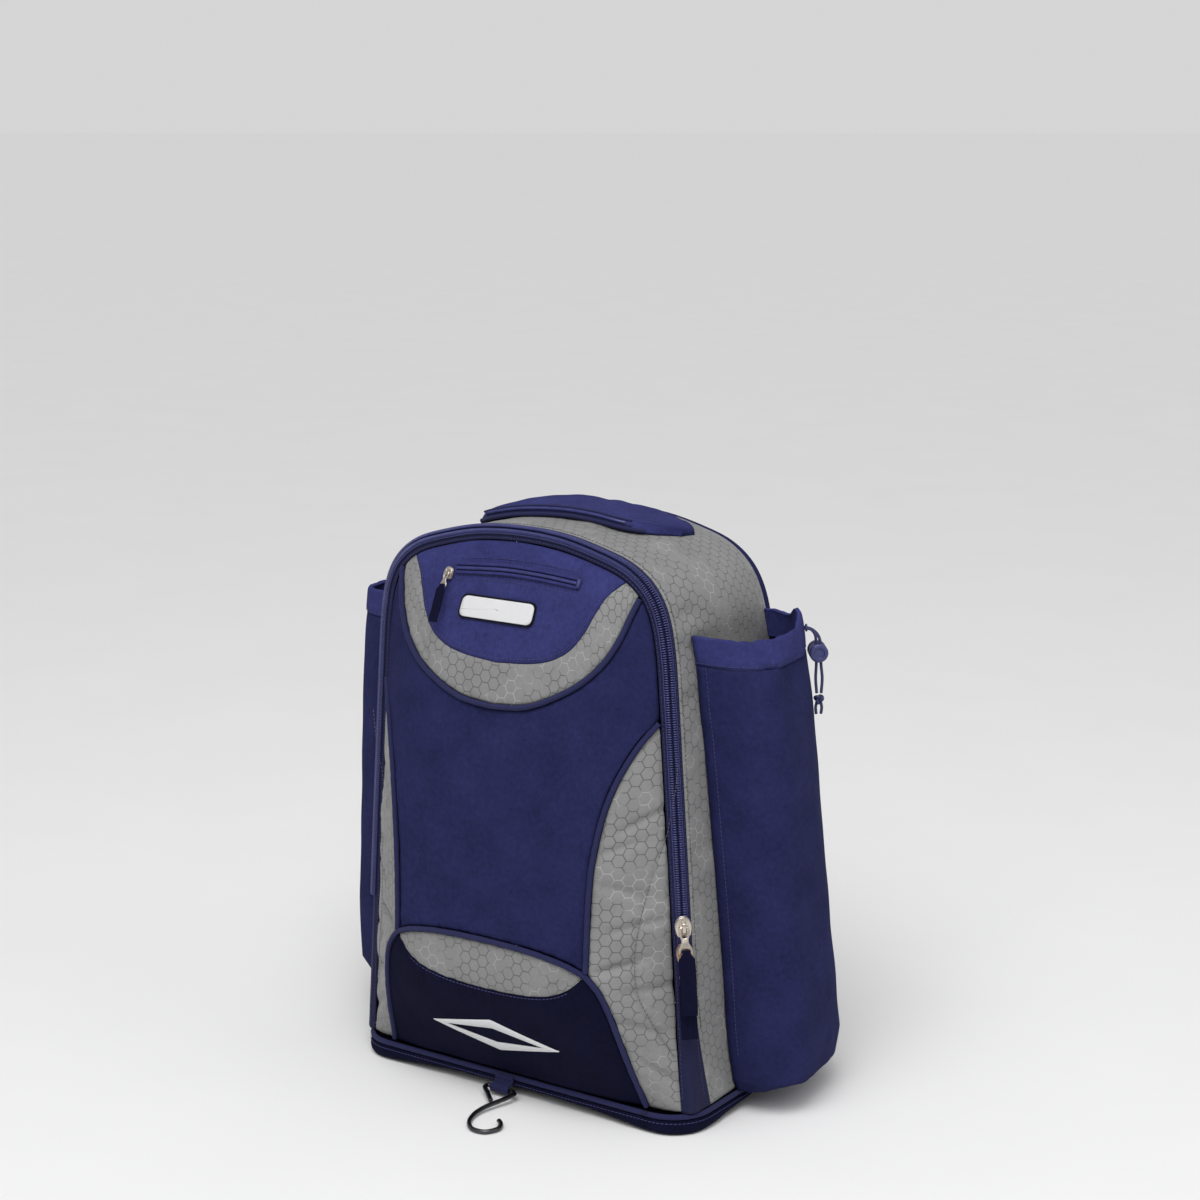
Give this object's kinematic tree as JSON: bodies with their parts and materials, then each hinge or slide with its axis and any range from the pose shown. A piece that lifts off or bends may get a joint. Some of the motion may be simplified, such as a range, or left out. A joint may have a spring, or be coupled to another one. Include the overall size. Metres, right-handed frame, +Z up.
{
  "type": "baseball bat backpack",
  "caption": "Backpack with a bulging front door, a bat sleeve on each side, a flat top pocket, a fence hook on a tab and padded shoulder straps.",
  "frame": {"origin": "centre of the flat underside of the base", "axes": "+Z up, -Y out of the front door, +Y to the wearer's back"},
  "size_m": [0.454, 0.303, 0.476],
  "materials": {
    "navy_cloth": "fine plain weave",
    "dark_navy_cloth": "fine plain weave, dark",
    "pale_navy_cloth": "fine plain weave, lighter where the light falls",
    "grey_cloth": "woven with a hexagon grid",
    "moulded_navy": "moulded, slightly glossy",
    "nickel": "satin nickel plating",
    "gunmetal": "dark plated wire"
  },
  "bodies": {
    "bag": {"back_panel": "dark_navy_cloth", "band_piping": "pale_navy_cloth", "base_panel": "dark_navy_cloth", "base_piping": "navy_cloth", "bat_sleeve_left": "navy_cloth", "bat_sleeve_right": "navy_cloth", "centre_panel": "navy_cloth", "cord_knot_left": "dark_navy_cloth", "cord_knot_right": "dark_navy_cloth", "cord_lock_left": "moulded_navy", "cord_lock_right": "moulded_navy", "drawcord_left_front": "dark_navy_cloth", "drawcord_left_rear": "dark_navy_cloth", "drawcord_right_front": "dark_navy_cloth", "drawcord_right_rear": "dark_navy_cloth", "gusset": "grey_cloth", "haul_loop": "dark_navy_cloth", "hex_band": "grey_cloth", "hook_tab": "navy_cloth", "lower_pocket": "dark_navy_cloth", "panel_piping_left": "pale_navy_cloth", "panel_piping_right": "pale_navy_cloth", "pocket_lens": "grey_cloth", "pocket_piping": "pale_navy_cloth", "shoulder_strap_left": "navy_cloth", "shoulder_strap_right": "navy_cloth", "side_panel_left": "grey_cloth", "side_panel_right": "grey_cloth", "sleeve_hem_left": "pale_navy_cloth", "sleeve_hem_right": "pale_navy_cloth", "strap_buckle_left": "moulded_navy", "strap_buckle_right": "moulded_navy", "strap_webbing_left": "dark_navy_cloth", "strap_webbing_right": "dark_navy_cloth", "top_pocket": "pale_navy_cloth", "top_pocket_piping": "navy_cloth", "top_pocket_zip": "dark_navy_cloth", "yoke_panel": "pale_navy_cloth", "yoke_slider": "nickel", "yoke_zip": "navy_cloth", "zipper_coil": "dark_navy_cloth", "zipper_lower_slider": "nickel", "zipper_tape": "navy_cloth", "zipper_upper_slider": "nickel"},
    "upper_puller": {"zipper_upper_puller": "nickel", "zipper_upper_tab": "dark_navy_cloth"},
    "lower_puller": {"zipper_lower_puller": "nickel", "zipper_lower_tab": "dark_navy_cloth"},
    "yoke_puller_pull": {"yoke_puller": "nickel", "yoke_tab": "dark_navy_cloth"},
    "hook": {"fence_hook": "gunmetal"},
    "lock_button_right": {"cord_lock_button_right": "moulded_navy"},
    "lock_button_left": {"cord_lock_button_left": "moulded_navy"}
  },
  "joints": [
    {"name": "upper_puller_swing", "type": "hinge", "parent": "bag", "child": "upper_puller", "pos_m": [0.15939, -0.11355, 0.17237], "axis": [-0.7666, -0.6402, -0.0504], "range_deg": [0, 120]},
    {"name": "lower_puller_swing", "type": "hinge", "parent": "bag", "child": "lower_puller", "pos_m": [0.16074, -0.11355, 0.15136], "axis": [-0.7667, -0.6402, -0.0489], "range_deg": [0, 4]},
    {"name": "yoke_puller_swing", "type": "hinge", "parent": "bag", "child": "yoke_puller_pull", "pos_m": [-0.05627, -0.12707, 0.42863], "axis": [-0.9982, 0.0564, -0.0217], "range_deg": [0, 120]},
    {"name": "hook_swing", "type": "hinge", "parent": "bag", "child": "hook", "pos_m": [0, -0.1273, 0.007], "axis": [-1, 0, 0], "range_deg": [-80, 60]},
    {"name": "lock_button_right_press", "type": "slide", "parent": "bag", "child": "lock_button_right", "axis": [0.6006, -0.7995, 0], "range_m": [0, 0.0026], "stiffness_N_per_m": 400},
    {"name": "lock_button_left_press", "type": "slide", "parent": "bag", "child": "lock_button_left", "axis": [-0.6082, -0.7938, 0], "range_m": [0, 0.0026], "stiffness_N_per_m": 400}
  ]
}
